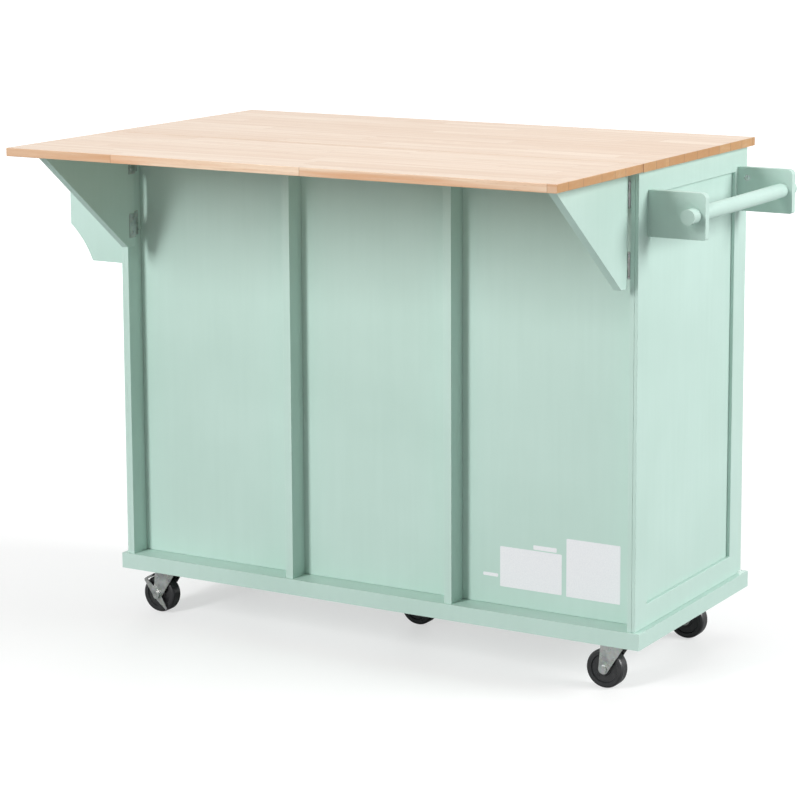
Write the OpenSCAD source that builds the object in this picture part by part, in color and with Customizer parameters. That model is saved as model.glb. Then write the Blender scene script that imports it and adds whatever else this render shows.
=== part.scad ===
// Kitchen island cart: a three-bay cabinet on five swivel casters. The worktop has a hinged leaf that
// rests on two swing-out brackets. One end carries a towel rack, the other a spice rack.
// X runs along the worktop, towards the spice rack. Y runs from the doors to the leaf. Z is up.
// The origin is on the floor, under the middle of the whole cart's outline.
// The modules work from the middle of the plinth, and place() moves them to the origin.

/* [Worktop] */
// Height of the worktop's upper face above the floor
worktop_h = 930; // [900:5:960]
// Length of the worktop and of the leaf
worktop_w = 1088; // [1080:2:1180]
// Thickness of the worktop and of the leaf
worktop_t = 15; // [15:1:22]
// Depth of the fixed part of the worktop
fixed_top_d = 466; // [464:1:470]
// Depth of the drop leaf
leaf_d = 311; // [300:1:360]
// Gap at the seam between the fixed top and the leaf
seam_gap = 1.5; // [1.5:0.1:2.5]
// How far the plinth stands in front of the worktop
top_setback = 2.5; // [0:0.5:4]

/* [Plinth] */
// Length of the plinth board
plinth_w = 1087; // [1080:1:1095]
// Depth of the plinth board
plinth_d = 468; // [464:1:476]
// Thickness of the plinth board
plinth_t = 29; // [24:1:32]
// Height of the plinth's underside above the floor
caster_h = 94; // [94:1:98]

/* [Cabinet] */
// Length of the cabinet over its end panels
cab_w = 1067; // [1060:1:1072]
// Depth of the cabinet's boards, without doors
cab_d = 439; // [430:1:440]
// How far the cabinet's back edges stand in from the back of the plinth
cab_setback = 5; // [3:1:8]
// Thickness of the partitions, shelves and stretchers
board_t = 15; // [14:1:18]
// Thickness of the end boards, inside the applied frame
end_board_t = 8; // [8:1:10]
// Thickness of the applied stiles and rails on each end
end_frame_t = 7; // [5:1:8]
// Width of the end frame's stile beside the leaf
rear_stile_w = 47; // [38:1:55]
// Width of the end frame's stile beside the doors
front_stile_w = 39; // [30:1:50]
// Height of the end frame's top rail
top_rail_h = 43; // [38:1:60]
// Height of the end frame's bottom rail
bottom_rail_h = 40; // [35:1:50]
// Clear width of the middle bay
middle_bay_w = 319; // [315:1:325]
// Depth of the recess behind the back panels
recess_d = 41; // [38:1:44]
// Thickness of the back panels
back_t = 5; // [4:1:6]
// Width of the flat stretchers under the worktop
stretcher_w = 60; // [50:1:70]
// Height of the shelves' underside above the floor
shelf_h = 480; // [400:10:560]

/* [Leaf brackets] */
// Thickness of the bracket plates
bracket_t = 15; // [12:1:15]
// Length of a bracket's upper edge
bracket_reach = 266; // [240:1:280]
// Height of a bracket along its hinge edge
bracket_h = 197; // [190:1:210]
// Length of the short flat edge at the foot of a bracket
bracket_foot = 22; // [15:1:40]
// Height of the hinges' leaves
hinge_h = 45; // [40:1:48]
// Radius of the bracket hinges' knuckles
knuckle_r = 3.5; // [3.5:0.1:4]

/* [Racks] */
// How far the towel rack's plates stand out from the cabinet
towel_plate_w = 105; // [90:1:120]
// Height of the towel rack's plates
towel_plate_h = 79; // [70:1:90]
// Thickness of the towel rack's plates
towel_plate_t = 14; // [12:1:16]
// Distance between the racks' outer end faces
rack_l = 388; // [370:1:400]
// Radius of the towel bar
towel_bar_r = 13; // [10:0.5:14]
// How far the towel bar stands out past each plate
towel_bar_proud = 27; // [10:1:30]
// Height of the racks' upper edges above the floor
rack_top_h = 881; // [870:1:885]
// How far the spice rack stands out from the cabinet
spice_w = 144; // [120:1:150]
// Height of the spice rack's end panels
spice_h = 206; // [190:1:220]
// Thickness of the spice rack's end panels
spice_end_t = 15; // [12:1:16]

/* [Doors and drawers] */
// Thickness of the doors and drawer fronts
front_t = 14; // [14:1:16]
// Gap between the doors and the cabinet's front edges
front_gap = 2; // [2:0.1:3]
// Gap between neighbouring doors and drawer fronts
reveal = 3; // [2:0.5:4]
// Width of the doors' stiles and rails
door_frame_w = 55; // [45:1:65]
// How far the knobs stand out
knob_l = 24; // [18:1:30]
// Length of the drawer boxes
drawer_l = 375; // [340:1:380]
// Height of the drawer boxes
drawer_h = 180; // [120:1:190]
// Thickness of the drawer boxes' boards
drawer_board_t = 12; // [10:1:12]

/* [Casters] */
// Radius of the wheels
wheel_r = 35; // [34:0.5:37]
// Width of the wheels
wheel_w = 25; // [22:1:28]
// How far each wheel trails behind its swivel
trail = 22; // [20:1:26]
// Distance from the end of the plinth to the corner casters' swivels
caster_in_x = 68.5; // [60:0.5:80]
// Distance from the long edge of the plinth to the corner casters' swivels
caster_in_y = 64; // [60:1:80]
// Radius of the axle bolts
axle_r = 4; // [3:0.5:4]

/* [Hidden] */
$fn = 64;
// Radial clearance of every pin and axle that something turns on
run_gap = 0.05;
// Clearance between a knuckle and the board it turns beside
turn_gap = 0.4;

// Finishes
mint = [0.72, 0.84, 0.80];
mint_shade = [0.60, 0.74, 0.70];
rubberwood = [0.93, 0.80, 0.64];
raw_board = [0.90, 0.86, 0.78];
zinc = [0.72, 0.75, 0.78];
black = [0.13, 0.13, 0.14];
nickel = [0.66, 0.66, 0.64];

// Heights
plinth_top = caster_h + plinth_t;
top_under = worktop_h - worktop_t;

// The cabinet's planes, measured from the middle of the plinth
cab_back = plinth_d / 2 - cab_setback;
cab_front = cab_back - cab_d;
end_out = cab_w / 2;
end_frame_in = end_out - end_frame_t;
end_in = end_frame_in - end_board_t;
part_in = middle_bay_w / 2;
part_out = part_in + board_t;
back_face = cab_back - recess_d;
top_front = top_setback - plinth_d / 2;
top_back = top_front + fixed_top_d;
leaf_front = top_back + seam_gap;
leaf_back = leaf_front + leaf_d;

// Fronts
front_back = cab_front - front_gap;
front_face = front_back - front_t;
front_z0 = plinth_top + reveal;
front_z1 = top_under - reveal;
door_in = part_in + board_t / 2 + reveal / 2;
door_out = end_out - reveal / 2;
drawer_half = part_in + board_t / 2 - reveal / 2;
drawer_count = 3;
drawer_front_h = (front_z1 - front_z0 - (drawer_count - 1) * reveal) / drawer_count;
drawer_side_gap = 4;
drawer_out = part_in - drawer_side_gap;
drawer_lift = 20;
drawer_floor_t = 8;
panel_t = 6;
panel_rebate = 8;
panel_clear = 0.2;
field_d = 4;
knob_z = 700;

// Drawer runners, which fit in grooves in the drawers' sides
runner_t = 10;
runner_h = 14;
runner_play = 0.4;
groove_d = runner_t - drawer_side_gap + 1;
runner_front = cab_front + 8;
runner_l = 370;

// Door pivots: a pin in the plinth and one in the worktop for each door
pivot_r = 2;
pivot_in = 5.5;
pivot_fwd = 9;
pivot_l = 15;
pivot_set = 8;
pivot_x = door_out - pivot_in;
pivot_y = front_back - pivot_fwd;

// Shelves
pin_r = 2.5;
pin_set = 6;
pin_out = 10;
pin_ys = [-150, 130];
shelf_clear = 1;
shelf_y = [cab_front + 15, back_face - back_t - 5];

// Bracket hinges: the pin stands in the inner back corner of the end panel
hinge_t = 1.5;
hinge_pin_r = 1.5;
bracket_pin_x = end_in - knuckle_r - turn_gap;
bracket_pin_y = cab_back - 2;
bracket_root = bracket_pin_y + knuckle_r + 1;
bracket_top = top_under - 1;
bracket_tip_h = 3;
fixed_leaf_w = 30;
wrap_w = 17;
knuckle_gap = 0.4;
bracket_hinge_zs = [bracket_top - 180, bracket_top - 61];

// Leaf hinges: under the seam
leaf_hinge_xs = [-210, 0, 210];
leaf_hinge_w = 60;
leaf_hinge_d = 24;
leaf_knuckle_r = 3;
seam_y = top_back + seam_gap / 2;
seam_z = top_under - leaf_knuckle_r - turn_gap;

// Racks
cam_r = 6;
cam_l = 10.5;
cam_in = 19;
towel_cam_zs = [rack_top_h - 19, rack_top_h - 59];
spice_cam_zs = [rack_top_h - 20, rack_top_h - 110];
towel_bar_x = end_out + 84.5;
towel_bar_z = rack_top_h - 38;
plate_top_r = 10;
plate_low_r = 4;
spice_curve_w = 50;
spice_curve_h = 68;
spice_curve_sag = 5;
spice_floor_t = 12;
spice_floor_z = rack_top_h - spice_h + spice_curve_h + 2;
spice_rail_t = 12;
spice_rail_h = 28;
spice_rail_zs = [spice_floor_z + spice_floor_t + 26, rack_top_h - 14 - spice_rail_h];
spice_rail_in = 6;

// Casters: the crown turns under the plate, and the legs reach down to the axle
plate_t = 2.5;
plate_half = 31;
plate_hole_in = 8;
plate_hole_r = 3;
race_r = 21;
race_bottom = 84.5;
crown_r = 24;
crown_top = 84;
crown_t = 3.5;
king_r = 4;
king_head_r = 7;
king_head_t = 2;
leg_gap = 1.5;
leg_t = 2.5;
leg_eye_r = 9;
leg_back = 20;
leg_fwd = trail + 5;
leg_out = wheel_w / 2 + leg_gap + leg_t;
axle_head_r = 7;
axle_head_t = 3;
nut_t = 4;
pedal_t = 2;
pedal_gap = 0.6;
braked_casters = [2, 3];
corner_x = plinth_w / 2 - caster_in_x;
corner_y = plinth_d / 2 - caster_in_y;
caster_spots = [
    [-corner_x, corner_y],
    [-corner_x, -corner_y],
    [corner_x, corner_y],
    [corner_x, -corner_y],
    [0, 0]
];

// The outline of the whole cart, for the origin
mid_x = (spice_w - towel_plate_w) / 2;
mid_y = (leaf_back + front_face - knob_l) / 2;

// ---- Helpers ----

// From the middle of the plinth to the cart's origin
module place() {
    translate([-mid_x, -mid_y, 0]) children();
}

// A box between two values on each axis
module block(x, y, z) {
    translate([x[0], y[0], z[0]]) cube([x[1] - x[0], y[1] - y[0], z[1] - z[0]]);
}

// The part as drawn on the spice side, or mirrored to the towel side
module on_side(side) {
    if (side > 0) children();
    else mirror([1, 0, 0]) children();
}

// Stands an outline drawn in X and Z upright, with its thickness along +Y
module upright(y, t) {
    translate([0, y + t, 0]) rotate([90, 0, 0]) linear_extrude(t) children();
}

// A round bar along Y
module bar_y(x, y, z, r, l) {
    translate([x, y, z]) rotate([-90, 0, 0]) cylinder(r = r, h = l);
}

// A round bar along X
module bar_x(x, y, z, r, l) {
    translate([x, y, z]) rotate([0, 90, 0]) cylinder(r = r, h = l);
}

// ---- Cabinet ----

// One thick board that carries everything, with sockets for the doors' lower pins
module base_board() {
    color(mint) place() difference() {
        block([-plinth_w / 2, plinth_w / 2], [-plinth_d / 2, plinth_d / 2], [caster_h, plinth_top]);
        for (side = [-1, 1])
            translate([side * pivot_x, pivot_y, plinth_top - pivot_set])
                cylinder(r = pivot_r, h = pivot_set + 1);
    }
}

// The end board inside the applied frame, with holes for the shelf pins
module end_panel(side) {
    color(mint) place() on_side(side) difference() {
        block([end_in, end_frame_in], [cab_front, cab_back], [plinth_top, top_under]);
        for (y = pin_ys)
            bar_x(end_in - 1, y, shelf_h - pin_r, pin_r, pin_set + 1);
    }
}

// Two stiles and two rails around a recessed field
module end_frame(side) {
    color(mint) place() on_side(side) difference() {
        block([end_frame_in, end_out], [cab_front, cab_back], [plinth_top, top_under]);
        block(
            [end_frame_in - 1, end_out + 1],
            [cab_front + front_stile_w, cab_back - rear_stile_w],
            [plinth_top + bottom_rail_h, top_under - top_rail_h]
        );
    }
}

// The two upright boards between the bays
module partitions() {
    color(mint) place() for (side = [-1, 1]) on_side(side) difference() {
        block([part_in, part_out], [cab_front, cab_back], [plinth_top, top_under]);
        for (y = pin_ys)
            bar_x(part_out - pin_set, y, shelf_h - pin_r, pin_r, pin_set + 1);
    }
}

// One thin panel for each bay, set back between the boards
module back_panels() {
    y = [back_face - back_t, back_face];
    color(mint) place() {
        for (side = [-1, 1])
            on_side(side) block([part_out, end_in], y, [plinth_top, top_under]);
        block([-part_in, part_in], y, [plinth_top, top_under]);
    }
}

// Flat boards under the worktop, at the front and the back of each bay
module top_stretchers() {
    front = [cab_front, cab_front + stretcher_w];
    rear = [back_face - back_t - stretcher_w, back_face - back_t];
    color(mint_shade) place() for (y = [front, rear]) {
        for (side = [-1, 1])
            on_side(side) block([part_out, end_in], y, [top_under - board_t, top_under]);
        block([-part_in, part_in], y, [top_under - board_t, top_under]);
    }
}

// One shelf behind each door
module shelves() {
    color(mint) place() for (side = [-1, 1])
        on_side(side) block(
            [part_out + shelf_clear, end_in - shelf_clear],
            shelf_y,
            [shelf_h, shelf_h + board_t]
        );
}

// Four pins under each shelf
module shelf_pins() {
    color(zinc) place() for (side = [-1, 1], y = pin_ys) on_side(side) {
        bar_x(end_in - pin_out, y, shelf_h - pin_r, pin_r, pin_out + pin_set);
        bar_x(part_out - pin_set, y, shelf_h - pin_r, pin_r, pin_out + pin_set);
    }
}

// ---- Worktop ----

// The part of the worktop that is fixed, with sockets for the doors' upper pins
module fixed_top() {
    color(rubberwood) place() difference() {
        block([-worktop_w / 2, worktop_w / 2], [top_front, top_back], [top_under, worktop_h]);
        for (side = [-1, 1])
            translate([side * pivot_x, pivot_y, top_under - 1])
                cylinder(r = pivot_r, h = pivot_set + 1);
    }
}

// The leaf that rests on the brackets
module drop_leaf() {
    color(rubberwood) place()
        block([-worktop_w / 2, worktop_w / 2], [leaf_front, leaf_back], [top_under, worktop_h]);
}

// One third of a hinge's knuckle, along X: part 0 or 2 at the ends, or part 1 in the middle
module leaf_knuckle(part) {
    third = leaf_hinge_w / 3;
    bar_x(part * third + knuckle_gap / 2, seam_y, seam_z, leaf_knuckle_r, third - knuckle_gap);
}

// The hole through a leaf hinge's knuckles
module leaf_pin_hole() {
    bar_x(-1, seam_y, seam_z, hinge_pin_r + run_gap, leaf_hinge_w + 2);
}

// Leaves under the fixed top, each with the two outer knuckles
module leaf_hinge_fixed_leaves() {
    third = leaf_hinge_w / 3;
    y0 = seam_y - leaf_hinge_d;
    color(zinc) place() for (x = leaf_hinge_xs) translate([x - leaf_hinge_w / 2, 0, 0]) difference() {
        union() {
            block([0, leaf_hinge_w], [y0, seam_y - leaf_knuckle_r - 1], [top_under - hinge_t, top_under]);
            for (part = [0, 2]) {
                leaf_knuckle(part);
                block(
                    [part * third + knuckle_gap / 2, (part + 1) * third - knuckle_gap / 2],
                    [y0, seam_y],
                    [top_under - hinge_t, top_under]
                );
            }
        }
        leaf_pin_hole();
    }
}

// Leaves under the drop leaf, each with the middle knuckle
module leaf_hinge_moving_leaves() {
    third = leaf_hinge_w / 3;
    y1 = seam_y + leaf_hinge_d;
    color(zinc) place() for (x = leaf_hinge_xs) translate([x - leaf_hinge_w / 2, 0, 0]) difference() {
        union() {
            block([0, leaf_hinge_w], [seam_y + leaf_knuckle_r + 1, y1], [top_under - hinge_t, top_under]);
            leaf_knuckle(1);
            block(
                [third + knuckle_gap / 2, 2 * third - knuckle_gap / 2],
                [seam_y, y1],
                [top_under - hinge_t, top_under]
            );
        }
        leaf_pin_hole();
    }
}

// Every steel pin that is fixed to the cabinet: leaf hinges, bracket hinges and door pivots
module hinge_pins() {
    color(zinc) place() {
        for (x = leaf_hinge_xs)
            bar_x(x - leaf_hinge_w / 2 - 1, seam_y, seam_z, hinge_pin_r, leaf_hinge_w + 2);
        for (side = [-1, 1]) {
            for (z = bracket_hinge_zs)
                translate([side * bracket_pin_x, bracket_pin_y, z - 1])
                    cylinder(r = hinge_pin_r, h = hinge_h + 2);
            translate([side * pivot_x, pivot_y, plinth_top - pivot_set])
                cylinder(r = pivot_r, h = pivot_set + reveal + pivot_l);
            translate([side * pivot_x, pivot_y, top_under - reveal - pivot_l])
                cylinder(r = pivot_r, h = pivot_set + reveal + pivot_l);
        }
    }
}

// ---- Leaf brackets ----

// A bracket hinge's knuckle, standing: part 0 or 2 at the ends, or part 1 in the middle
module bracket_knuckle(part) {
    third = hinge_h / 3;
    translate([bracket_pin_x, bracket_pin_y, part * third + knuckle_gap / 2])
        cylinder(r = knuckle_r, h = third - knuckle_gap);
}

// The hole through a bracket hinge's knuckles
module bracket_pin_hole() {
    translate([bracket_pin_x, bracket_pin_y, -1]) cylinder(r = hinge_pin_r + run_gap, h = hinge_h + 2);
}

// Leaves on the inner faces of the end panels, each with the two outer knuckles
module bracket_hinge_fixed_leaves() {
    third = hinge_h / 3;
    x = [end_in - hinge_t, end_in];
    y0 = bracket_pin_y - fixed_leaf_w;
    color(zinc) place() for (side = [-1, 1], z = bracket_hinge_zs)
        on_side(side) translate([0, 0, z]) difference() {
            union() {
                block(x, [y0, bracket_pin_y - knuckle_r - 0.5], [0, hinge_h]);
                for (part = [0, 2]) {
                    bracket_knuckle(part);
                    block(
                        x,
                        [y0, bracket_pin_y],
                        [part * third + knuckle_gap / 2, (part + 1) * third - knuckle_gap / 2]
                    );
                }
            }
            bracket_pin_hole();
        }
}

// Leaves bent round the root edge of a bracket onto its inner face, each with the middle knuckle
module bracket_leaves(side) {
    third = hinge_h / 3;
    face = bracket_pin_x - bracket_t;
    y = [bracket_root - hinge_t, bracket_root];
    color(zinc) place() on_side(side) for (z = bracket_hinge_zs) translate([0, 0, z]) difference() {
        union() {
            block([face - hinge_t, face], [y[0], bracket_root + wrap_w], [0, hinge_h]);
            block([face - hinge_t, bracket_pin_x - knuckle_r - 0.5], y, [0, hinge_h]);
            block([face, bracket_pin_x], y, [third + knuckle_gap / 2, 2 * third - knuckle_gap / 2]);
            bracket_knuckle(1);
        }
        bracket_pin_hole();
    }
}

// A triangular plate that swings out to carry the leaf, or in, flush with the cabinet's back
module leaf_bracket(side) {
    tip = bracket_root + bracket_reach;
    low = bracket_top - bracket_h;
    color(mint) place() on_side(side)
        translate([bracket_pin_x - bracket_t, 0, 0]) rotate([90, 0, 90]) linear_extrude(bracket_t)
            polygon([
                [bracket_root, low],
                [bracket_root + bracket_foot, low],
                [tip, bracket_top - bracket_tip_h],
                [tip, bracket_top],
                [bracket_root, bracket_top]
            ]);
}

// ---- Racks ----

// Outline of a towel rack plate, from the wall outwards: two rounded outer corners
module towel_plate_outline() {
    w = towel_plate_w;
    h = towel_plate_h;
    square([w - plate_top_r, h]);
    translate([0, plate_low_r]) square([w, h - plate_low_r - plate_top_r]);
    translate([w - plate_low_r - plate_top_r, 0]) square([plate_top_r, h / 2]);
    translate([w - plate_low_r, plate_low_r]) circle(r = plate_low_r);
    translate([w - plate_top_r, h - plate_top_r]) circle(r = plate_top_r);
}

// A bore for a cam lock in the inner face of a rack's end, at the end of the rack on side e
module cam_bore(e, x, z, end_t) {
    inner = rack_l / 2 - end_t;
    translate([x, e * (inner - 1), z]) rotate([-90 * e, 0, 0]) cylinder(r = cam_r, h = cam_l + 1.5);
}

// Two plates that carry the towel bar
module towel_rack_plates() {
    color(mint) place() mirror([1, 0, 0]) for (e = [-1, 1]) difference() {
        translate([end_out, 0, rack_top_h - towel_plate_h])
            upright(e > 0 ? rack_l / 2 - towel_plate_t : -rack_l / 2, towel_plate_t)
                towel_plate_outline();
        bar_y(towel_bar_x, -rack_l, towel_bar_z, towel_bar_r, 2 * rack_l);
        for (z = towel_cam_zs)
            cam_bore(e, end_out + cam_in, z, towel_plate_t);
    }
}

// The round bar, through both plates
module towel_bar() {
    half = rack_l / 2 + towel_bar_proud;
    color(mint) place() mirror([1, 0, 0]) bar_y(towel_bar_x, -half, towel_bar_z, towel_bar_r, 2 * half);
}

// Outline of a spice rack end, from the wall outwards, with a hollow curve below its floor
module spice_end_outline() {
    chord = norm([spice_curve_w, spice_curve_h]);
    r = chord * chord / (8 * spice_curve_sag) + spice_curve_sag / 2;
    out = [spice_curve_h, -spice_curve_w] / chord;
    foot = [spice_w - spice_curve_w, 0];
    middle = foot + [spice_curve_w, spice_curve_h] / 2;
    difference() {
        union() {
            square([spice_w - plate_top_r, spice_h]);
            square([spice_w, spice_h - plate_top_r]);
            translate([spice_w - plate_top_r, spice_h - plate_top_r]) circle(r = plate_top_r);
        }
        translate(middle + out * (r - spice_curve_sag)) circle(r = r, $fn = 128);
    }
}

// Two end panels of the spice rack
module spice_rack_ends() {
    color(mint) place() for (e = [-1, 1]) difference() {
        translate([end_out, 0, rack_top_h - spice_h])
            upright(e > 0 ? rack_l / 2 - spice_end_t : -rack_l / 2, spice_end_t)
                spice_end_outline();
        for (z = spice_cam_zs)
            cam_bore(e, end_out + cam_in, z, spice_end_t);
    }
}

// The board that jars stand on
module spice_rack_floor() {
    half = rack_l / 2 - spice_end_t;
    color(mint) place()
        block(
            [end_out, end_out + spice_w - spice_rail_in],
            [-half, half],
            [spice_floor_z, spice_floor_z + spice_floor_t]
        );
}

// Two flat rails along the front of the spice rack
module spice_rack_rails() {
    half = rack_l / 2 - spice_end_t;
    x1 = end_out + spice_w - spice_rail_in;
    color(mint) place() for (z = spice_rail_zs)
        block([x1 - spice_rail_t, x1], [-half, half], [z, z + spice_rail_h]);
}

// One cam lock: a disc with a crossed slot, flush in its bore
module cam_lock(e, x, z, end_t) {
    inner = rack_l / 2 - end_t;
    slot = [7, 1.4, 3];
    translate([x, e * (inner + 0.5), z]) rotate([-90 * e, 0, 0]) difference() {
        cylinder(r = cam_r, h = cam_l);
        for (a = [0, 90]) rotate([0, 0, a]) cube(slot, center = true);
    }
}

// Two cam locks in each end of each rack
module rack_cam_locks() {
    color(zinc) place() for (e = [-1, 1]) {
        mirror([1, 0, 0]) for (z = towel_cam_zs) cam_lock(e, end_out + cam_in, z, towel_plate_t);
        for (z = spice_cam_zs) cam_lock(e, end_out + cam_in, z, spice_end_t);
    }
}

// ---- Doors ----

// A frame with a rebate at the back for its panel, and a socket at each end for the pivot pins
module door_frame(side) {
    w = door_frame_w;
    color(mint) place() on_side(side) difference() {
        block([door_in, door_out], [front_face, front_back], [front_z0, front_z1]);
        block([door_in + w, door_out - w], [front_face - 1, front_back + 1], [front_z0 + w, front_z1 - w]);
        block(
            [door_in + w - panel_rebate, door_out - w + panel_rebate],
            [front_back - panel_rebate, front_back + 1],
            [front_z0 + w - panel_rebate, front_z1 - w + panel_rebate]
        );
        for (z = [front_z0 - 1, front_z1 - pivot_l - 1])
            translate([pivot_x, pivot_y, z]) cylinder(r = pivot_r + run_gap, h = pivot_l + 2);
    }
}

// The thin panel in a door's rebate
module door_panel(side) {
    w = door_frame_w - panel_rebate + panel_clear;
    y0 = front_back - panel_rebate;
    color(mint) place() on_side(side)
        block([door_in + w, door_out - w], [y0, y0 + panel_t], [front_z0 + w, front_z1 - w]);
}

// A turned knob whose foot stands on the front face at x and z
module knob(x, z) {
    l = knob_l;
    translate([x, front_face, z]) rotate([90, 0, 0]) rotate_extrude()
        polygon([[0, 0], [8, 0], [8, 2], [5.5, 5], [5.5, 0.4 * l], [12, 0.6 * l], [15, 0.75 * l],
                 [15, 0.88 * l], [12, 0.97 * l], [6, l], [0, l]]);
}

// A door's knob, on the stile away from the pivots
module door_knob(side) {
    color(nickel) place() on_side(side) knob(door_in + door_frame_w / 2, knob_z);
}

// ---- Drawers: 0 is the bottom one ----

function drawer_z(i) = front_z0 + i * (drawer_front_h + reveal);
function runner_z(i) = drawer_z(i) + drawer_lift + drawer_h / 2;

// A front with a sunk field
module drawer_front(i) {
    z = [drawer_z(i), drawer_z(i) + drawer_front_h];
    w = door_frame_w - 10;
    color(mint) place() difference() {
        block([-drawer_half, drawer_half], [front_face, front_back], z);
        block(
            [w - drawer_half, drawer_half - w],
            [front_face - 1, front_face + field_d],
            [z[0] + w, z[1] - w]
        );
    }
}

// An open box whose sides have grooves for the runners
module drawer_box(i) {
    z0 = drawer_z(i) + drawer_lift;
    y = [front_back, front_back + drawer_l];
    b = drawer_board_t;
    groove_h = runner_h + 2 * runner_play;
    color(raw_board) place() difference() {
        block([-drawer_out, drawer_out], y, [z0, z0 + drawer_h]);
        block(
            [b - drawer_out, drawer_out - b],
            [y[0] + b, y[1] - b],
            [z0 + drawer_floor_t, z0 + drawer_h + 1]
        );
        for (side = [-1, 1])
            on_side(side) block(
                [drawer_out - groove_d, drawer_out + 1],
                [runner_front - 2, y[1] + 1],
                [runner_z(i) - groove_h / 2, runner_z(i) + groove_h / 2]
            );
    }
}

// A drawer's knob, in the middle of its front
module drawer_knob(i) {
    color(nickel) place() translate([0, field_d, 0]) knob(0, drawer_z(i) + drawer_front_h / 2);
}

// Strips on the partitions that carry the drawers
module drawer_runners() {
    color(raw_board) place() for (i = [0 : drawer_count - 1], side = [-1, 1])
        on_side(side) block(
            [part_in - runner_t, part_in],
            [runner_front, runner_front + runner_l],
            [runner_z(i) - runner_h / 2, runner_z(i) + runner_h / 2]
        );
}

// ---- Casters: drawn about their swivel axis, with the wheel trailing towards +X ----

// Five screw plates, each with its race and its kingpin
module caster_plates() {
    hole = plate_half - plate_hole_in;
    color(zinc) place() for (spot = caster_spots) translate([spot[0], spot[1], 0]) difference() {
        union() {
            block([-plate_half, plate_half], [-plate_half, plate_half], [caster_h - plate_t, caster_h]);
            translate([0, 0, race_bottom]) cylinder(r = race_r, h = caster_h - race_bottom);
            translate([0, 0, crown_top - crown_t - 1]) cylinder(r = king_r, h = crown_t + 2);
            translate([0, 0, crown_top - crown_t - turn_gap - king_head_t])
                cylinder(r = king_head_r, h = king_head_t);
        }
        for (x = [-hole, hole], y = [-hole, hole])
            translate([x, y, caster_h - plate_t - 1]) cylinder(r = plate_hole_r, h = plate_t + 2);
    }
}

// Outline of one fork leg, in X and Z: wide at the crown and round at the axle
module leg_outline() {
    difference() {
        union() {
            polygon([
                [-leg_back, crown_top],
                [leg_fwd, crown_top],
                [trail + leg_eye_r, wheel_r + 1],
                [trail - 0.8 * leg_eye_r, wheel_r - 0.6 * leg_eye_r]
            ]);
            translate([trail, wheel_r]) circle(r = leg_eye_r);
        }
        translate([trail, wheel_r]) circle(r = axle_r + run_gap);
    }
}

// A crown on the kingpin, round in front and square behind, with a leg at each side of the wheel
module caster_fork(k) {
    color(zinc) place() translate([caster_spots[k][0], caster_spots[k][1], 0]) {
        difference() {
            union() {
                translate([0, 0, crown_top - crown_t]) cylinder(r = crown_r, h = crown_t);
                block([0, leg_fwd], [-leg_out, leg_out], [crown_top - crown_t, crown_top]);
            }
            translate([0, 0, crown_top - crown_t - 1]) cylinder(r = king_r + run_gap, h = crown_t + 2);
        }
        for (y = [leg_out - leg_t, -leg_out]) upright(y, leg_t) leg_outline();
    }
}

// How far a bolt reaches past the middle of its wheel: further where it also carries a pedal
function braked(k) = len(search(k, braked_casters)) > 0;
function axle_reach(k) = leg_out + pedal_gap + (braked(k) ? pedal_t + pedal_gap : 0);

// The bolt that a wheel turns on, with its round head towards the leaf and its nut towards the doors
module caster_axle(k) {
    head = axle_reach(k);
    nut = -leg_out - pedal_gap;
    color(zinc) place() translate([caster_spots[k][0] + trail, caster_spots[k][1], 0]) {
        bar_y(0, nut, wheel_r, axle_r, head - nut);
        bar_y(0, head, wheel_r, axle_head_r, axle_head_t);
        translate([0, nut - nut_t, wheel_r]) rotate([-90, 0, 0])
            cylinder(r = axle_head_r, h = nut_t, $fn = 6);
    }
}

// A solid wheel with a raised hub and rounded shoulders
module caster_wheel(k) {
    h = wheel_w / 2;
    r = wheel_r;
    hub_r = 11;
    rim_r = r - 9;
    dish = h - 3;
    color(black) place() translate([caster_spots[k][0] + trail, caster_spots[k][1], wheel_r])
        rotate([90, 0, 0]) rotate_extrude() polygon([
            [axle_r + run_gap, -h + 0.5], [hub_r, -h + 0.5], [hub_r + 2, -dish], [rim_r - 2, -dish],
            [rim_r, -h], [r - 4, -h], [r - 1.2, -h + 1.2], [r, -h + 4],
            [r, h - 4], [r - 1.2, h - 1.2], [r - 4, h], [rim_r, h],
            [rim_r - 2, dish], [hub_r + 2, dish], [hub_r, h - 0.5], [axle_r + run_gap, h - 0.5]
        ]);
}

// A pressed lever on the axle: a long arm that ends in a foot tab over the tyre, and a thin tail
module brake_pedal(k) {
    y0 = leg_out + pedal_gap;
    arm_a = 46;
    tab_a = 62;
    tab_in = wheel_r + 1.8;
    tab_out = tab_in + pedal_t;
    tab_back = 8;
    tab_fwd = 12;
    tail = wheel_r - 1;
    color(zinc) place() translate([caster_spots[k][0] + trail, caster_spots[k][1], wheel_r]) difference() {
        union() {
            upright(y0, pedal_t) {
                circle(r = leg_eye_r);
                rotate(arm_a) polygon([[0, -8.5], [tab_out, -2.5], [tab_out, 3.5], [0, 8.5]]);
                rotate(arm_a + 4) polygon([[0, 8.5], [-tail, 1.5], [-tail, -1.5], [0, -8.5]]);
            }
            rotate([0, -tab_a, 0])
                block([tab_in, tab_out], [-wheel_w / 2, y0 + pedal_t], [-tab_fwd, tab_back]);
        }
        bar_y(0, y0 - 1, 0, axle_r + run_gap, pedal_t + 2);
    }
}

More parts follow.
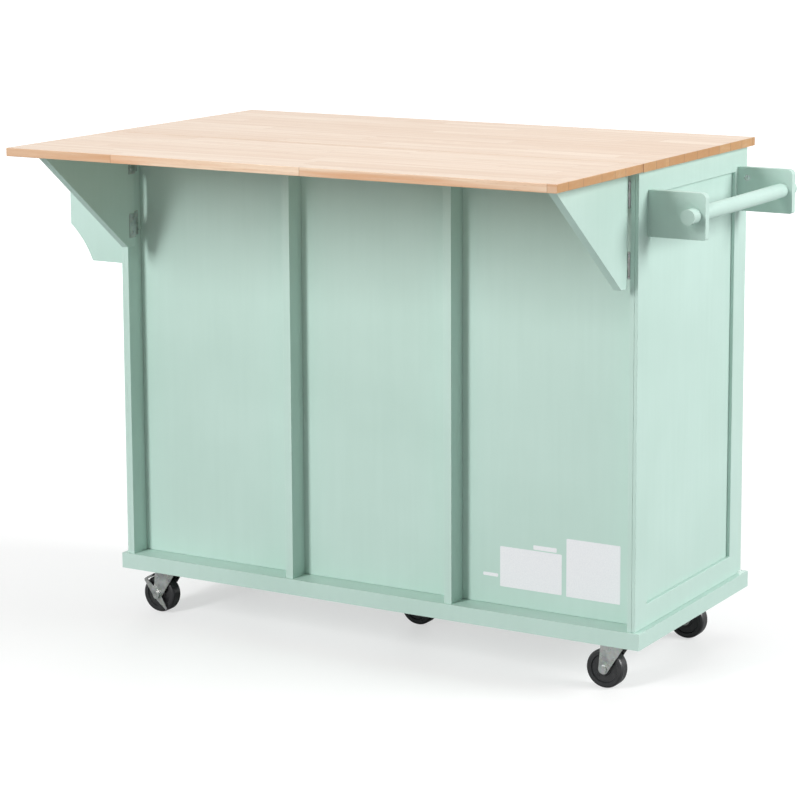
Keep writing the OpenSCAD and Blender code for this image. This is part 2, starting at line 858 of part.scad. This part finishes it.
base_board();
end_panel(-1);  // towel_side_panel
end_panel(1);  // spice_side_panel
end_frame(-1);  // towel_side_frame
end_frame(1);  // spice_side_frame
partitions();
back_panels();
top_stretchers();
shelves();
shelf_pins();
fixed_top();
drop_leaf();
leaf_hinge_fixed_leaves();
leaf_hinge_moving_leaves();
hinge_pins();
bracket_hinge_fixed_leaves();
leaf_bracket(-1);  // towel_side_bracket
leaf_bracket(1);  // spice_side_bracket
bracket_leaves(-1);  // towel_side_bracket_leaves
bracket_leaves(1);  // spice_side_bracket_leaves
towel_rack_plates();
towel_bar();
spice_rack_ends();
spice_rack_floor();
spice_rack_rails();
rack_cam_locks();
door_frame(-1);  // towel_side_door_frame
door_panel(-1);  // towel_side_door_panel
door_knob(-1);  // towel_side_door_knob
door_frame(1);  // spice_side_door_frame
door_panel(1);  // spice_side_door_panel
door_knob(1);  // spice_side_door_knob
drawer_runners();
drawer_front(2);  // top_drawer_front
drawer_box(2);  // top_drawer_box
drawer_knob(2);  // top_drawer_knob
drawer_front(1);  // middle_drawer_front
drawer_box(1);  // middle_drawer_box
drawer_knob(1);  // middle_drawer_knob
drawer_front(0);  // bottom_drawer_front
drawer_box(0);  // bottom_drawer_box
drawer_knob(0);  // bottom_drawer_knob
caster_plates();
caster_fork(0);  // caster_fork_towel_rear
caster_axle(0);  // caster_axle_towel_rear
caster_wheel(0);  // caster_wheel_towel_rear
caster_fork(1);  // caster_fork_towel_front
caster_axle(1);  // caster_axle_towel_front
caster_wheel(1);  // caster_wheel_towel_front
caster_fork(2);  // caster_fork_spice_rear
caster_axle(2);  // caster_axle_spice_rear
caster_wheel(2);  // caster_wheel_spice_rear
caster_fork(3);  // caster_fork_spice_front
caster_axle(3);  // caster_axle_spice_front
caster_wheel(3);  // caster_wheel_spice_front
caster_fork(4);  // caster_fork_centre
caster_axle(4);  // caster_axle_centre
caster_wheel(4);  // caster_wheel_centre
brake_pedal(2);  // brake_pedal_spice_rear
brake_pedal(3);  // brake_pedal_spice_front
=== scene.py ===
"""Looks of the kitchen island cart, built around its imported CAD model. Metres, in the part's own frame."""
import math

import bmesh
import bpy
from mathutils import Matrix, Vector


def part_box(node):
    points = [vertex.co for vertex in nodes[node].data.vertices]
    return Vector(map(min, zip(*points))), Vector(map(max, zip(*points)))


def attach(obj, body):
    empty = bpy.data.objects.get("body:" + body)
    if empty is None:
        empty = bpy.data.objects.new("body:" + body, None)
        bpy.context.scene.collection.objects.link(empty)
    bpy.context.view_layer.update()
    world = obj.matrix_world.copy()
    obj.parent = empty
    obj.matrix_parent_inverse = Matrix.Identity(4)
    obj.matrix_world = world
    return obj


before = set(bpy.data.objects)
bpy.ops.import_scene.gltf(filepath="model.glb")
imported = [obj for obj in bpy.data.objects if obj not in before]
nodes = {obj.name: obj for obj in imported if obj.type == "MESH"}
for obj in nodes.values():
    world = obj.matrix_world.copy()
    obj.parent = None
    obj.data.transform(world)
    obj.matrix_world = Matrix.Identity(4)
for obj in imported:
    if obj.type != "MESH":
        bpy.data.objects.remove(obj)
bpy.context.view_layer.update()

# ---------------------------------------------------------------- camera and light

CAMERA_AT = (-2.4255, 4.0305, 1.442)
CAMERA_YAW, CAMERA_PITCH, CAMERA_ROLL = 30.58, 9.22, -0.27   # degrees
LENS, SHIFT_UP = 119.0, -0.15

SENSOR = 36   # millimetres, as LENS

# soft boxes, all aimed at LIGHT_AIM: name, place, (width, height), watts
LIGHT_AIM = (0, 0, 0.5)
SOFT_BOXES = [
    ("key", (1.85, 6.2, 3.5), (1.1, 3.4), 370),      # tall, behind the camera's left
    ("side", (-5.6, -1.4, 3.0), (2.4, 2.4), 300),    # off to the camera's right
    ("overhead", (0.0, -0.6, 4.5), (4.0, 4.0), 60),
    ("front", (1.8, -4.2, 0.48), (2.6, 0.8), 60),    # on doors and drawers, lower than the worktop
]
AMBIENT = 0.20


def camera_matrix(yaw, pitch, roll, at):
    """A camera that looks along -Y turned by yaw towards +X, tipped down by pitch."""
    yaw, pitch, roll = (math.radians(a) for a in (yaw, pitch, roll))
    ahead = Vector((math.sin(yaw), -math.cos(yaw), 0))
    right = Vector((-math.cos(yaw), -math.sin(yaw), 0))
    up = Vector((0, 0, 1))
    ahead, up = (ahead * math.cos(pitch) - up * math.sin(pitch),
                 up * math.cos(pitch) + ahead * math.sin(pitch))
    right, up = (right * math.cos(roll) + up * math.sin(roll),
                 up * math.cos(roll) - right * math.sin(roll))
    turn = Matrix((right, up, -ahead)).transposed().to_4x4()
    return Matrix.Translation(at) @ turn


def add_camera():
    data = bpy.data.cameras.new("camera")
    data.sensor_width, data.lens, data.shift_y = SENSOR, LENS, SHIFT_UP
    camera = bpy.data.objects.new("camera", data)
    camera.matrix_world = camera_matrix(CAMERA_YAW, CAMERA_PITCH, CAMERA_ROLL, CAMERA_AT)
    bpy.context.scene.collection.objects.link(camera)
    bpy.context.scene.camera = camera


def add_soft_box(name, at, size, power):
    """A white rectangle of light, turned towards the middle of the cart."""
    data = bpy.data.lights.new(name, "AREA")
    data.shape, data.energy = "RECTANGLE", power
    data.size, data.size_y = size
    light = bpy.data.objects.new(name, data)
    light.location = at
    light.rotation_euler = (Vector(LIGHT_AIM) - Vector(at)).to_track_quat("-Z", "Y").to_euler()
    bpy.context.scene.collection.objects.link(light)


def add_world():
    """White all round for the eye, and a weaker white as light."""
    world = bpy.data.worlds.new("studio")
    bpy.context.scene.world = world
    world.use_nodes = True
    tree = world.node_tree
    back = tree.nodes["Background"]
    back.inputs["Color"].default_value = (1, 1, 1, 1)
    ray = tree.nodes.new("ShaderNodeLightPath")
    level = tree.nodes.new("ShaderNodeMapRange")
    level.inputs["To Min"].default_value, level.inputs["To Max"].default_value = 1.0, AMBIENT
    tree.links.new(ray.outputs["Is Diffuse Ray"], level.inputs["Value"])
    tree.links.new(level.outputs["Result"], back.inputs["Strength"])


# ---------------------------------------------------------------- material helpers


def srgb(r, g, b):
    """A display colour, 0 to 255, as the linear colour that shaders take."""
    def line(c):
        c /= 255
        return c / 12.92 if c <= 0.04045 else ((c + 0.055) / 1.055) ** 2.4
    return (line(r), line(g), line(b), 1)


class Look:
    """A material being put together: add() makes a node and joins its inputs."""

    def __init__(self, name):
        self.material = bpy.data.materials.new(name)
        self.material.use_nodes = True
        self.tree = self.material.node_tree
        self.shader = self.tree.nodes["Principled BSDF"]
        self.place = self.add("ShaderNodeTexCoord").outputs["Object"]

    def add(self, kind, settings=None, **inputs):
        node = self.tree.nodes.new(kind)
        for key, value in (settings or {}).items():
            setattr(node, key, value)
        for key, value in inputs.items():
            self.put(node, int(key[1:]) if key[0] == "i" and key[1:].isdigit()
                     else key.replace("_", " "), value)
        return node

    def put(self, node, key, value):
        if isinstance(value, bpy.types.NodeSocket):
            self.tree.links.new(value, node.inputs[key])
        else:
            node.inputs[key].default_value = value

    def math(self, operation, a, b=0.0, c=0.0):
        return self.add("ShaderNodeMath", {"operation": operation}, i0=a, i1=b, i2=c).outputs[0]

    def stretch(self, scale, place=None):
        return self.add("ShaderNodeMapping", Vector=place or self.place, Scale=scale).outputs[0]

    def noise(self, scale, detail=2.0, place=None, rough=0.5, distortion=0.0):
        return self.add("ShaderNodeTexNoise", Vector=place or self.place, Scale=scale,
                        Detail=detail, Roughness=rough, Distortion=distortion).outputs[0]

    def span(self, value, low, high, to_low=0.0, to_high=1.0):
        return self.add("ShaderNodeMapRange", Value=value, From_Min=low, From_Max=high,
                        To_Min=to_low, To_Max=to_high).outputs[0]

    def mix(self, factor, a, b, blend="MIX"):
        return self.add("ShaderNodeMix", {"data_type": "RGBA", "blend_type": blend},
                        i0=factor, i6=a, i7=b).outputs[2]

    def bump(self, height, distance, strength=1.0, after=None):
        node = self.add("ShaderNodeBump", Height=height, Distance=distance, Strength=strength)
        if after:
            self.put(node, "Normal", after)
        return node.outputs[0]

    def edges(self, radius):
        """1 on the outer edges of a shape and 0 on its faces."""
        rounded = self.add("ShaderNodeBevel", {"samples": 4}, Radius=radius).outputs[0]
        flat = self.add("ShaderNodeNewGeometry").outputs["Normal"]
        turn = self.add("ShaderNodeVectorMath", {"operation": "DOT_PRODUCT"}, i0=rounded, i1=flat)
        return self.span(turn.outputs["Value"], 0.995, 0.85)

    def finish(self, colour, rough, normal=None, **fixed):
        self.put(self.shader, "Base Color", colour)
        self.put(self.shader, "Roughness", rough)
        if normal:
            self.put(self.shader, "Normal", normal)
        for key, value in fixed.items():
            self.put(self.shader, key.replace("_", " "), value)
        return self.material


# ---------------------------------------------------------------- materials


def paint():
    """Satin mint paint, rolled on: soft clouds of tone, fine stipple, edges rubbed paler."""
    look = Look("mint_paint")
    clouds = look.span(look.noise(3.2, 3), 0.32, 0.68)
    colour = look.mix(clouds, srgb(186, 213, 203), srgb(194, 220, 211))
    streak = look.noise(1.0, 3, look.stretch((90, 90, 5)))
    colour = look.mix(look.span(streak, 0.35, 0.65, 0.0, 0.10), colour, srgb(174, 203, 192))
    specks = look.span(look.noise(420, 2), 0.70, 0.78)
    colour = look.mix(look.math("MULTIPLY", specks, 0.10), colour, srgb(226, 236, 230))
    worn = look.math("MULTIPLY", look.edges(0.0016), look.span(look.noise(45, 3), 0.35, 0.62))
    colour = look.mix(look.math("MULTIPLY", worn, 0.42), colour, srgb(226, 240, 233))
    stipple = look.bump(look.noise(520, 3), 0.00022, 0.5)
    normal = look.bump(streak, 0.0005, 0.35, stipple)
    rough = look.span(look.noise(9, 3), 0.3, 0.7, 0.40, 0.54)
    return look.finish(colour, rough, normal, Specular_IOR_Level=0.45)


def staves():
    """Lacquered worktop glued from staves that run along X, butted end to end; its upright faces carry
    painted shade.
    """
    look = Look("glued_staves")
    stave_width, stave_length = 0.052, 0.46
    part = look.add("ShaderNodeSeparateXYZ", Vector=look.place).outputs
    # each stave across the top, and each length of wood along it, is one cell
    row = look.add("ShaderNodeTexVoronoi", {"voronoi_dimensions": "1D"}, W=part["Y"],
                   Scale=1 / stave_width, Randomness=0.55).outputs["W"]
    row_seed = look.add("ShaderNodeTexWhiteNoise", {"noise_dimensions": "1D"}, W=row).outputs[0]
    along = look.math("MULTIPLY_ADD", part["X"], 1 / stave_length,
                      look.math("MULTIPLY", row_seed, 37.0))
    length = look.add("ShaderNodeTexVoronoi", {"voronoi_dimensions": "1D"}, W=along,
                      Scale=1.0, Randomness=0.8).outputs["W"]
    seed = look.add("ShaderNodeTexWhiteNoise", {"noise_dimensions": "2D"},
                    Vector=look.add("ShaderNodeCombineXYZ", X=row, Y=length).outputs[0])
    joint_y = look.add("ShaderNodeTexVoronoi",
                       {"voronoi_dimensions": "1D", "feature": "DISTANCE_TO_EDGE"},
                       W=part["Y"], Scale=1 / stave_width, Randomness=0.55).outputs["Distance"]
    joint_x = look.add("ShaderNodeTexVoronoi",
                       {"voronoi_dimensions": "1D", "feature": "DISTANCE_TO_EDGE"},
                       W=along, Scale=1.0, Randomness=0.8).outputs["Distance"]
    joint = look.math("MAXIMUM", look.span(joint_y, 0.006, 0.018, 1.0, 0.0),
                      look.span(joint_x, 0.0, 0.0016, 1.0, 0.0))
    # the grain of every length starts from its own place in the log
    shift = look.add("ShaderNodeVectorMath", {"operation": "SCALE"}, i0=seed.outputs["Color"])
    look.put(shift, "Scale", 3.0)
    own = look.add("ShaderNodeVectorMath", {"operation": "ADD"}, i0=look.place,
                   i1=shift.outputs[0]).outputs[0]
    fibre = look.noise(1.0, 4, look.stretch((9, 420, 420), place=own), 0.6)
    streak = look.noise(1.0, 3, look.stretch((2.4, 60, 60), place=own), 0.55, 0.3)
    rings = look.add("ShaderNodeTexWave",
                     {"wave_type": "RINGS", "rings_direction": "X", "wave_profile": "SAW"},
                     Vector=look.stretch((0.55, 1, 1), place=own), Scale=42.0, Distortion=3.2,
                     Detail=2.0, Detail_Scale=1.4).outputs["Fac"]
    facing = look.add("ShaderNodeSeparateXYZ",
                      Vector=look.add("ShaderNodeNewGeometry").outputs["Normal"]).outputs
    end_grain = look.span(look.math("ABSOLUTE", facing["X"]), 0.6, 0.8)
    # painted shade: side is 1 on the worktop's upright faces and 0 on its top; the marks that use it paint
    # those faces darker and more orange than the top, as shade
    side = look.span(look.math("ABSOLUTE", facing["Z"]), 0.8, 0.6)
    colour = look.mix(seed.outputs["Value"], srgb(240, 218, 194), srgb(228, 199, 170))
    colour = look.mix(look.span(streak, 0.40, 0.7, 0.0, 0.50), colour, srgb(210, 172, 136))
    colour = look.mix(look.span(fibre, 0.45, 0.75, 0.0, 0.30), colour, srgb(200, 160, 122))
    # streaks, painted darker and more orange on the upright faces: real streaks with painted shade there
    colour = look.mix(look.math("MULTIPLY", side, look.span(streak, 0.42, 0.6, 0.1, 0.75)), colour,
                      srgb(214, 160, 118))
    ring_depth = look.span(end_grain, 0, 1, 0.20, 0.60)
    colour = look.mix(look.math("MULTIPLY", rings, ring_depth), colour, srgb(198, 150, 108))
    colour = look.mix(look.math("MULTIPLY", end_grain, 0.75), colour, srgb(197, 152, 100))
    # random tone from stave to stave that darkens only the upright faces: partly real tone, partly painted
    # shade
    tone = look.math("MULTIPLY", side, look.span(seed.outputs["Value"], 0, 1, 0.0, 0.55))
    colour = look.mix(tone, colour, srgb(187, 133, 86))
    pores = look.span(look.noise(1.0, 2, look.stretch((60, 900, 900), place=own)), 0.66, 0.74)
    colour = look.mix(look.math("MULTIPLY", pores, 0.35), colour, srgb(164, 118, 78))
    # dark joints, darker still on the upright faces: real joints with painted shade there
    joint_and_side_shade = look.span(side, 0, 1, 0.40, 0.85)
    colour = look.mix(look.math("MULTIPLY", joint, joint_and_side_shade), colour, srgb(138, 92, 58))
    rubbed = look.math("MULTIPLY", look.edges(0.0015), 0.35)
    colour = look.mix(rubbed, colour, srgb(242, 222, 198))
    height = look.math("SUBTRACT", look.math("MULTIPLY", fibre, 0.5), joint)
    normal = look.bump(height, 0.00025, 0.5)
    rough = look.span(fibre, 0.3, 0.7, 0.30, 0.42)
    return look.finish(colour, rough, normal, Coat_Weight=0.25, Coat_Roughness=0.18)


def pale_board():
    """Clear-coated board of the drawer boxes and their runners, with a fine straight grain."""
    look = Look("pale_board")
    fibre = look.noise(1.0, 4, look.stretch((260, 7, 260)), 0.6)
    bands = look.noise(1.0, 2, look.stretch((34, 1.2, 34)))
    colour = look.mix(look.span(bands, 0.35, 0.65), srgb(240, 229, 209), srgb(229, 214, 189))
    colour = look.mix(look.span(fibre, 0.5, 0.75, 0.0, 0.4), colour, srgb(208, 188, 158))
    colour = look.mix(look.math("MULTIPLY", look.edges(0.001), 0.5), colour, srgb(214, 194, 164))
    rough = look.span(fibre, 0.3, 0.7, 0.42, 0.55)
    return look.finish(colour, rough, look.bump(fibre, 0.0002, 0.4))


def zinc():
    """Zinc plate: neutral grey, with faint spangle and rubbed, brighter edges."""
    look = Look("bright_zinc")
    spangle = look.add("ShaderNodeTexVoronoi", Vector=look.place, Scale=260.0).outputs["Color"]
    tone = look.span(look.noise(70, 3), 0.3, 0.7)
    colour = look.mix(tone, srgb(166, 170, 168), srgb(200, 204, 202))
    colour = look.mix(0.10, colour, spangle, "SOFT_LIGHT")
    stain = look.span(look.noise(38, 4, rough=0.7), 0.60, 0.78)
    colour = look.mix(look.math("MULTIPLY", stain, 0.35), colour, srgb(122, 126, 124))
    colour = look.mix(look.math("MULTIPLY", look.edges(0.0006), 0.5), colour, srgb(232, 234, 232))
    scratch = look.noise(1.0, 3, look.stretch((900, 900, 120)))
    rough = look.span(look.noise(120, 3), 0.3, 0.7, 0.24, 0.40)
    return look.finish(colour, rough, look.bump(scratch, 0.00006, 0.5), Metallic=1.0)


def nickel():
    """Satin nickel, brushed round the knob."""
    look = Look("satin_nickel")
    brushed = look.noise(1.0, 3, look.stretch((1400, 160, 1400)))
    tone = look.span(look.noise(60, 2), 0.3, 0.7)
    colour = look.mix(tone, srgb(196, 194, 188), srgb(216, 214, 208))
    colour = look.mix(look.math("MULTIPLY", look.edges(0.0008), 0.4), colour, srgb(238, 237, 233))
    rough = look.span(brushed, 0.3, 0.7, 0.26, 0.38)
    return look.finish(colour, rough, look.bump(brushed, 0.00005, 0.4), Metallic=1.0)


def black_plastic():
    """Moulded black nylon: satin, dusty in patches, grey where the edges rub."""
    look = Look("black_nylon")
    dust = look.span(look.noise(55, 4, rough=0.65), 0.52, 0.75)
    colour = look.mix(look.math("MULTIPLY", dust, 0.35), srgb(34, 35, 37), srgb(72, 72, 71))
    colour = look.mix(look.math("MULTIPLY", look.edges(0.0009), 0.45), colour, srgb(92, 93, 95))
    grain = look.noise(900, 2)
    rough = look.span(look.noise(80, 3), 0.3, 0.7, 0.26, 0.42)
    return look.finish(colour, rough, look.bump(grain, 0.00012, 0.4), Specular_IOR_Level=0.6)


def paper():
    """Blank off-white label paper."""
    look = Look("label_paper")
    fibres = look.noise(700, 4, rough=0.7)
    colour = look.mix(look.span(fibres, 0.35, 0.65), srgb(226, 228, 232), srgb(238, 239, 241))
    return look.finish(colour, 0.62, look.bump(fibres, 0.00008, 0.4))


def floor_look():
    """Mid grey for the light that bounces off it, lifted to white for the camera as it goes away."""
    look = Look("studio_floor")
    soft = look.span(look.noise(0.6, 3), 0.3, 0.7)
    colour = look.mix(soft, (0.44, 0.44, 0.44, 1), (0.46, 0.46, 0.46, 1))
    seen = look.add("ShaderNodeLightPath").outputs["Is Camera Ray"]
    away = look.add("ShaderNodeVectorMath", {"operation": "LENGTH"}, i0=look.place).outputs["Value"]
    lift = look.span(away, 1.2, 4.5, 0.55, 1.0)
    look.put(look.shader, "Emission Strength", look.math("MULTIPLY", seen, lift))
    return look.finish(colour, 0.85, look.bump(look.noise(60, 3), 0.0004, 0.15),
                       Emission_Color=(1, 1, 1, 1))


LOOKS = {
    "painted_board": paint(),
    "worktop_wood": staves(),
    "plain_board": pale_board(),
    "zinc_steel": zinc(),
    "knob_nickel": nickel(),
    "wheel_black": black_plastic(),
}
PAPER = paper()

# ---------------------------------------------------------------- CAD nodes: finish and softened edges

BOARD_EDGE, TOP_EDGE = 0.0012, 0.0015   # width of the broken edge
WELD_GAP = 0.00002                      # vertices nearer than this are one
SHARP_ANGLE = math.radians(40)          # edges that turn less than this stay as they are


def soften(piece, width):
    """Breaks the sharp edges of a solid, so that they catch light as sanded or pressed ones do."""
    weld = piece.modifiers.new("weld", "WELD")
    weld.merge_threshold = WELD_GAP
    bevel = piece.modifiers.new("edge", "BEVEL")
    bevel.width, bevel.segments = width, 2
    bevel.limit_method, bevel.angle_limit = "ANGLE", SHARP_ANGLE
    bevel.harden_normals = True


for name, node in nodes.items():
    slot = node.material_slots[0].material.name.split(".")[0]
    node.material_slots[0].material = LOOKS[slot]
    if slot in ("painted_board", "plain_board"):
        soften(node, BOARD_EDGE)
    elif slot == "worktop_wood":
        soften(node, TOP_EDGE)

# ---------------------------------------------------------------- small pieces that ride on the CAD bodies

MM = 0.001
base_low, base_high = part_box("base_board")
MID_X, MID_Y = (base_low.x + base_high.x) / 2, (base_low.y + base_high.y) / 2


def link(name, mesh, look, body):
    piece = bpy.data.objects.new(name, mesh)
    bpy.context.scene.collection.objects.link(piece)
    mesh.materials.append(look)
    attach(piece, body)
    return piece


def lathe(mesh_name, profile, sides=28):
    """A solid turned about Z from (radius, height) pairs that start and end on the axis."""
    solid = bmesh.new()
    rings = []
    for radius, height in profile:
        if radius == 0:
            rings.append([solid.verts.new((0, 0, height))] * sides)
        else:
            rings.append([solid.verts.new((radius * math.cos(2 * math.pi * k / sides),
                                           radius * math.sin(2 * math.pi * k / sides), height))
                          for k in range(sides)])
    for lower, upper in zip(rings, rings[1:]):
        for k in range(sides):
            n = (k + 1) % sides
            corners = [lower[k], lower[n], upper[n], upper[k]]
            kept = [c for i, c in enumerate(corners) if c not in corners[:i]]
            if len(kept) > 2:
                solid.faces.new(kept)
    bmesh.ops.recalc_face_normals(solid, faces=solid.faces)
    mesh = bpy.data.meshes.new(mesh_name)
    solid.to_mesh(mesh)
    solid.free()
    return mesh


def box_mesh(mesh_name, boxes):
    """Boxes given as (low corner, high corner), as one mesh."""
    solid = bmesh.new()
    for low, high in boxes:
        cube = bmesh.ops.create_cube(solid, size=1)["verts"]
        middle = [(a + b) / 2 for a, b in zip(low, high)]
        size = [b - a for a, b in zip(low, high)]
        for v in cube:
            v.co = Vector(m + c * d for m, c, d in zip(middle, v.co, size))
    mesh = bpy.data.meshes.new(mesh_name)
    solid.to_mesh(mesh)
    solid.free()
    return mesh


def cut(body_mesh, tool_mesh):
    """body_mesh with tool_mesh taken out of it."""
    body = bpy.data.objects.new("cut_body", body_mesh)
    tool = bpy.data.objects.new("cut_tool", tool_mesh)
    for o in (body, tool):
        bpy.context.scene.collection.objects.link(o)
    mod = body.modifiers.new("cut", "BOOLEAN")
    mod.operation, mod.object, mod.solver = "DIFFERENCE", tool, "EXACT"
    bpy.context.view_layer.update()
    made = bpy.data.meshes.new_from_object(body.evaluated_get(
        bpy.context.evaluated_depsgraph_get()))
    for o in (body, tool):
        bpy.data.objects.remove(o)
    if not made.polygons:
        raise ValueError("nothing is left of " + body_mesh.name)
    return made


def screw_head(radius, height):
    """A low dome with a cross recess, standing on z = 0."""
    dome = lathe("dome", [(0, 0), (radius, 0), (radius, 0.25 * height), (0.86 * radius, 0.62 * height),
                          (0.55 * radius, 0.92 * height), (0.2 * radius, height), (0, height)])
    arm, half, top = 0.58 * radius, 0.11 * radius, 2 * height
    # one slot at a time: the boolean gives nothing for a tool that crosses itself
    for low, high in (((-arm, -half, 0.45 * height), (arm, half, top)),
                      ((-half, -arm, 0.45 * height), (half, arm, top * 1.01))):
        dome = cut(dome, box_mesh("slot", [(low, high)]))
    return dome


HINGE_SCREW, CASTER_SCREW = (3.4 * MM, 1.1 * MM), (4.4 * MM, 2.0 * MM)   # head's radius and height
SCREW_TURN = 0.7                                                         # radians, grows with each screw
SMOOTH_ANGLE = math.radians(38)


def screws(name, body, spots, radius_and_height=HINGE_SCREW):
    """Screw heads at (place, direction out of the surface), each turned its own way, as one piece."""
    head = screw_head(*radius_and_height)
    solid = bmesh.new()
    for k, (place, out) in enumerate(spots):
        outward = Vector(out).to_track_quat("Z", "Y").to_matrix().to_4x4()
        screw = head.copy()
        screw.transform(Matrix.Translation(place) @ outward @ Matrix.Rotation(SCREW_TURN * k * k, 4, "Z"))
        solid.from_mesh(screw)
    mesh = bpy.data.meshes.new(name)
    solid.to_mesh(mesh)
    solid.free()
    for face in mesh.polygons:
        face.use_smooth = True
    mesh.set_sharp_from_angle(angle=SMOOTH_ANGLE)
    return link(name, mesh, LOOKS["zinc_steel"], body)


# caster plates: four screws each, driven up into the base board
CASTER_X, CASTER_Y, PLATE_HOLE, PLATE_T = 475 * MM, 170 * MM, 23 * MM, 2.5 * MM
caster_middles = [(sx * CASTER_X, sy * CASTER_Y) for sx in (-1, 1) for sy in (-1, 1)] + [(0, 0)]
plate_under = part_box("caster_plates")[1].z - PLATE_T
screws("caster_plate_screws", "cabinet",
       [((MID_X + x + hx * PLATE_HOLE, MID_Y + y + hy * PLATE_HOLE, plate_under), (0, 0, -1))
        for x, y in caster_middles for hx in (-1, 1) for hy in (-1, 1)], CASTER_SCREW)

# bracket hinges: two screws in every leaf, on its inner face
HINGE_H, LEAF_IN, FIXED_IN = 45 * MM, 8.5 * MM, 11 * MM
hinge_low, hinge_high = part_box("bracket_hinge_fixed_leaves")
hinge_bottoms = (hinge_low.z, hinge_high.z - HINGE_H)
SCREW_PARTS = (0.2, 0.8)   # of a leaf's height
screw_zs = [z + HINGE_H * part for z in hinge_bottoms for part in SCREW_PARTS]
HINGE_T, END_IN = 1.5 * MM, 518.5 * MM
screws("fixed_leaf_screws", "cabinet",
       [((MID_X + side * (END_IN - HINGE_T), hinge_low.y + FIXED_IN, z), (-side, 0, 0))
        for side in (-1, 1) for z in screw_zs])
for body, side in (("towel_side_bracket", -1), ("spice_side_bracket", 1)):
    low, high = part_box(body + "_leaves")
    inner = low.x if side > 0 else high.x
    screws(body + "_screws", body,
           [((inner, high.y - LEAF_IN, z), (-side, 0, 0)) for z in screw_zs])

# leaf hinges: two screws in every leaf, under the worktop
SEAM_LEAF_T, SEAM_SCREW_IN, HINGE_STEP, SCREW_STEP = 1.5 * MM, 8 * MM, 210 * MM, 20 * MM
for node_name, body, inward in (("leaf_hinge_fixed_leaves", "cabinet", 1),
                                ("leaf_hinge_moving_leaves", "leaf", -1)):
    low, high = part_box(node_name)
    y = (low.y if inward > 0 else high.y) + inward * SEAM_SCREW_IN
    screws(node_name + "_screws", body,
           [((MID_X + hinge * HINGE_STEP + part * SCREW_STEP, y, high.z - SEAM_LEAF_T), (0, 0, -1))
            for hinge in (-1, 0, 1) for part in (-1, 1)])

# brake pedals: a ribbed black cap pushed over each foot tab
TRAIL, WHEEL_R, TAB_TURN = 22 * MM, 35 * MM, math.radians(62)
TAB_IN, TAB_OUT, TAB_FWD, TAB_BACK = 36.8 * MM, 38.8 * MM, -12 * MM, 8 * MM
TAB_Y, TAB_REACH, CAP_T = -12.5 * MM, 15 * MM, 0.8 * MM
RIBS, RIB_STEP, RIB_W, RIB_FIRST = 5, 4.2 * MM, 1.4 * MM, 2 * MM
RIB_IN, RIB_SHORT, CAP_EDGE = 1.5 * MM, 2 * MM, 0.5 * MM
for site, sy in (("spice_rear", 1), ("spice_front", -1)):
    cap = box_mesh("cap", [
        ((TAB_IN - 0.7 * CAP_T, TAB_Y - CAP_T, TAB_FWD - CAP_T),
         (TAB_OUT + CAP_T, TAB_REACH, TAB_BACK + CAP_T))])
    ribs = box_mesh("ribs", [
        ((TAB_OUT + 0.5 * CAP_T, TAB_Y + RIB_IN, TAB_FWD + RIB_FIRST + k * RIB_STEP),
         (TAB_OUT + 1.6 * CAP_T, TAB_REACH - RIB_SHORT, TAB_FWD + RIB_FIRST + RIB_W + k * RIB_STEP))
        for k in range(RIBS)])
    solid = bmesh.new()
    solid.from_mesh(cap)
    solid.from_mesh(ribs)
    solid.to_mesh(cap)
    solid.free()
    cap.transform(Matrix.Translation((MID_X + CASTER_X + TRAIL, MID_Y + sy * CASTER_Y, WHEEL_R))
                  @ Matrix.Rotation(-TAB_TURN, 4, "Y"))
    piece = link("pedal_cap_" + site, cap, LOOKS["wheel_black"], "pedal_" + site)
    edge = piece.modifiers.new("edge", "BEVEL")
    edge.width, edge.segments = CAP_EDGE, 3

# blank paper labels on the third back panel, in mm:
# name, distance from its outer edge, height above the floor, width, height
LABELS = [("label_wide", 146, 157, 122, 73), ("label_square", 33, 156, 104, 104),
          ("label_strip", 156, 232, 46, 8), ("label_tag", 272, 173, 30, 6)]
panel_low, panel_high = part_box("back_panels")
LABEL_T, LABEL_GAP, CORNER = 0.2 * MM, 0.02 * MM, 1.6 * MM
CORNER_STEPS = 4


def label_mesh(name, x, z, width, height):
    """A thin sheet with round corners, lying on the panel's face."""
    corners = ((1, 1, 0), (-1, 1, 90), (-1, -1, 180), (1, -1, 270))
    outline = []
    for sx, sz, start in corners:
        for step in range(CORNER_STEPS + 1):
            a = math.radians(start + 90 / CORNER_STEPS * step)
            outline.append((x + width / 2 + sx * (width / 2 - CORNER) + CORNER * math.cos(a),
                            z + height / 2 + sz * (height / 2 - CORNER) + CORNER * math.sin(a)))
    # face by face, because bmesh's extrude orders its result differently on every run
    solid = bmesh.new()
    front, back = ([solid.verts.new((px, panel_high.y + out, pz)) for px, pz in outline]
                   for out in (LABEL_T, LABEL_GAP))
    solid.faces.new(front)
    solid.faces.new(back[::-1])
    for k in range(len(outline)):
        solid.faces.new((front[k], front[k - 1], back[k - 1], back[k]))
    bmesh.ops.recalc_face_normals(solid, faces=solid.faces)
    mesh = bpy.data.meshes.new(name)
    solid.to_mesh(mesh)
    solid.free()
    return mesh


for name, x, z, width, height in LABELS:
    link(name, label_mesh(name, panel_low.x + x * MM, z * MM, width * MM, height * MM),
         PAPER, "cabinet")

# ---------------------------------------------------------------- stage

FLOOR_HALF, FLOOR_DROP = 40, 0.0005   # the drop keeps the wheels off the floor's plane
floor_mesh = bpy.data.meshes.new("floor")
floor_mesh.from_pydata([(x * FLOOR_HALF, y * FLOOR_HALF, 0)
                        for x, y in ((-1, -1), (1, -1), (1, 1), (-1, 1))], [], [(0, 1, 2, 3)])
floor = bpy.data.objects.new("floor", floor_mesh)
floor.location = (0, 0, -FLOOR_DROP)
bpy.context.scene.collection.objects.link(floor)
floor_mesh.materials.append(floor_look())

add_camera()
add_world()
for name, at, size, power in SOFT_BOXES:
    add_soft_box(name, at, size, power)
bpy.context.scene.view_settings.view_transform = "Standard"
